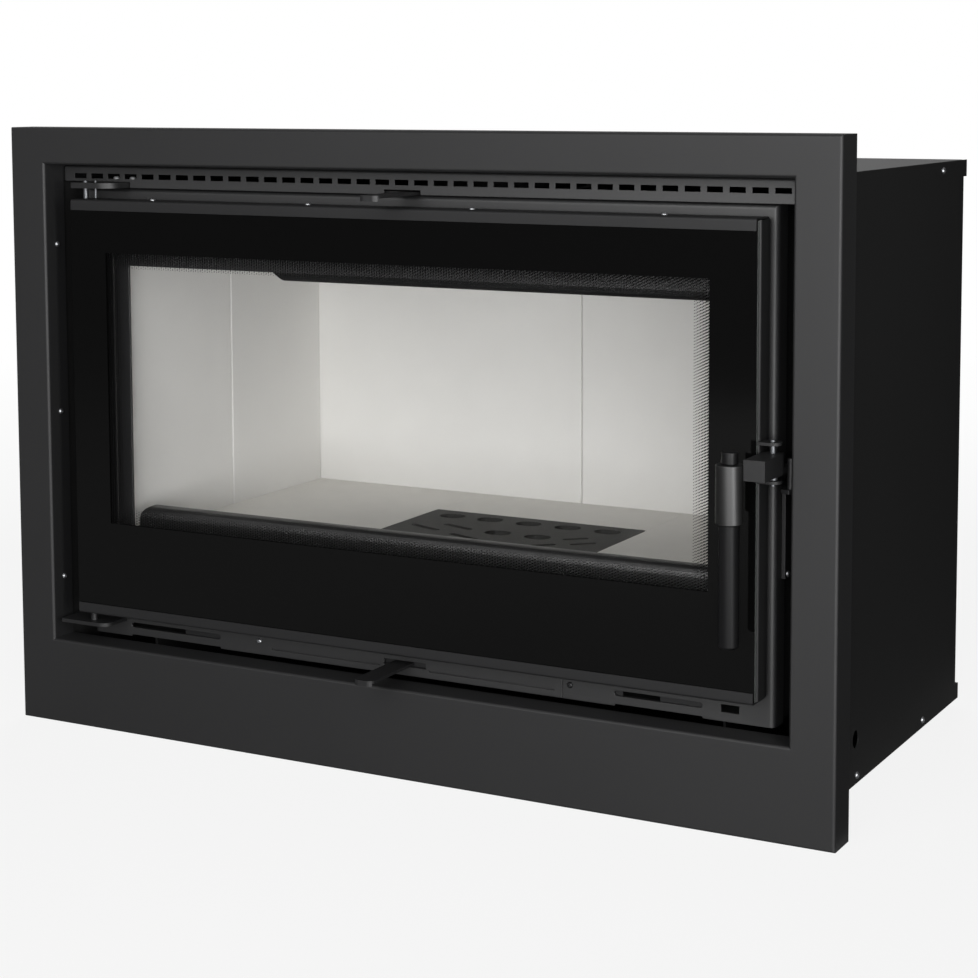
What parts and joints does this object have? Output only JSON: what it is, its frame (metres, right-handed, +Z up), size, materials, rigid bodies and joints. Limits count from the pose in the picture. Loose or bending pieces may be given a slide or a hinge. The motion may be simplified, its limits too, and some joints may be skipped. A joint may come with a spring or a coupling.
{
  "type": "fireplace insert",
  "caption": "Built-in wood-burning fireplace insert: folded surround, convection casing, lined firebox with grate, and a glazed side-hinged door with a latch handle.",
  "frame": {"origin": "centre of the bounding box at the floor, under the middle of the insert", "axes": "+X to the right as seen from the front, along the width; +Y from the door towards the back; +Z up"},
  "size_m": [0.984, 0.5986, 0.68],
  "materials": {
    "black_steel": "fine-textured matt black heat-proof paint on folded steel",
    "casing_steel": "plain matt black painted sheet",
    "cast_iron": "rough matt black casting",
    "fireboard": "pale grey matt moulded refractory board",
    "plated_sheet": "dull zinc-plated sheet",
    "plated_pin": "bright turned steel",
    "handle_steel": "satin dark grey turned sleeve",
    "glass": "flat ceramic glass with a black printed border and a fading dot edge",
    "seal": "dark grey knitted glass-fibre rope and tape"
  },
  "bodies": {
    "insert": {"surround_frame": "black_steel", "convection_grille": "black_steel", "front_plate": "black_steel", "air_control_cover": "black_steel", "firebox_left_wall": "black_steel", "firebox_right_wall": "black_steel", "firebox_back_wall": "black_steel", "firebox_roof": "black_steel", "hearth_plate": "black_steel", "firebox_base": "black_steel", "cradle_left": "black_steel", "cradle_right": "black_steel", "flue_collar": "black_steel", "baffle": "black_steel", "upper_hinge_plate": "black_steel", "lower_hinge_plate": "black_steel", "keeper_plate": "black_steel", "casing_left_side": "casing_steel", "casing_right_side": "casing_steel", "casing_lid": "casing_steel", "casing_tray": "casing_steel", "casing_back": "casing_steel", "grate_carrier": "cast_iron", "baffle_frame": "cast_iron", "foot_front_left": "cast_iron", "foot_front_right": "cast_iron", "foot_rear_left": "cast_iron", "foot_rear_right": "cast_iron", "lining_left_front": "fireboard", "lining_left_rear": "fireboard", "lining_right_front": "fireboard", "lining_right_rear": "fireboard", "lining_back_left": "fireboard", "lining_back_right": "fireboard", "floor_brick_left": "fireboard", "floor_brick_right": "fireboard", "floor_brick_front": "fireboard", "floor_brick_rear": "fireboard", "ash_pan": "plated_sheet", "catch_pin": "plated_pin"},
    "door": {"door_top_rail": "black_steel", "door_bottom_rail": "black_steel", "door_left_stile": "black_steel", "door_right_stile": "black_steel", "door_glass": "glass", "glass_tape": "seal", "glass_retainer_top": "plated_sheet", "glass_retainer_bottom": "plated_sheet", "door_rope": "seal", "upper_hinge_pin": "plated_pin", "door_stop_pin": "plated_pin", "latch_pin": "plated_pin"},
    "handle": {"latch_arm": "black_steel", "handle_sleeve": "handle_steel", "handle_grip": "black_steel", "handle_spindle": "black_steel"},
    "primary_air": {"primary_air_slider": "black_steel"},
    "secondary_air": {"secondary_air_slider": "black_steel"},
    "grate": {"grate": "cast_iron"},
    "log_guard": {"log_guard": "black_steel"}
  },
  "joints": [
    {"name": "door_hinge", "type": "hinge", "parent": "insert", "child": "door", "pos_m": [-0.3965, -0.23675, 0.366], "axis": [0, 0, -1], "range_deg": [0, 100]},
    {"name": "handle_swing", "type": "hinge", "parent": "door", "child": "handle", "pos_m": [0.4217, -0.23775, 0.367], "axis": [0, 0, 1], "range_deg": [0, 30]},
    {"name": "primary_air_slide", "type": "slide", "parent": "insert", "child": "primary_air", "axis": [1, 0, 0], "range_m": [-0.009, 0.013]},
    {"name": "secondary_air_slide", "type": "slide", "parent": "insert", "child": "secondary_air", "axis": [1, 0, 0], "range_m": [-0.015, 0]},
    {"name": "grate_lift", "type": "slide", "parent": "insert", "child": "grate", "axis": [0, 0, 1], "range_m": [0, 0.15]},
    {"name": "log_guard_lift", "type": "slide", "parent": "insert", "child": "log_guard", "axis": [0, 0, 1], "range_m": [0, 0.12]}
  ]
}
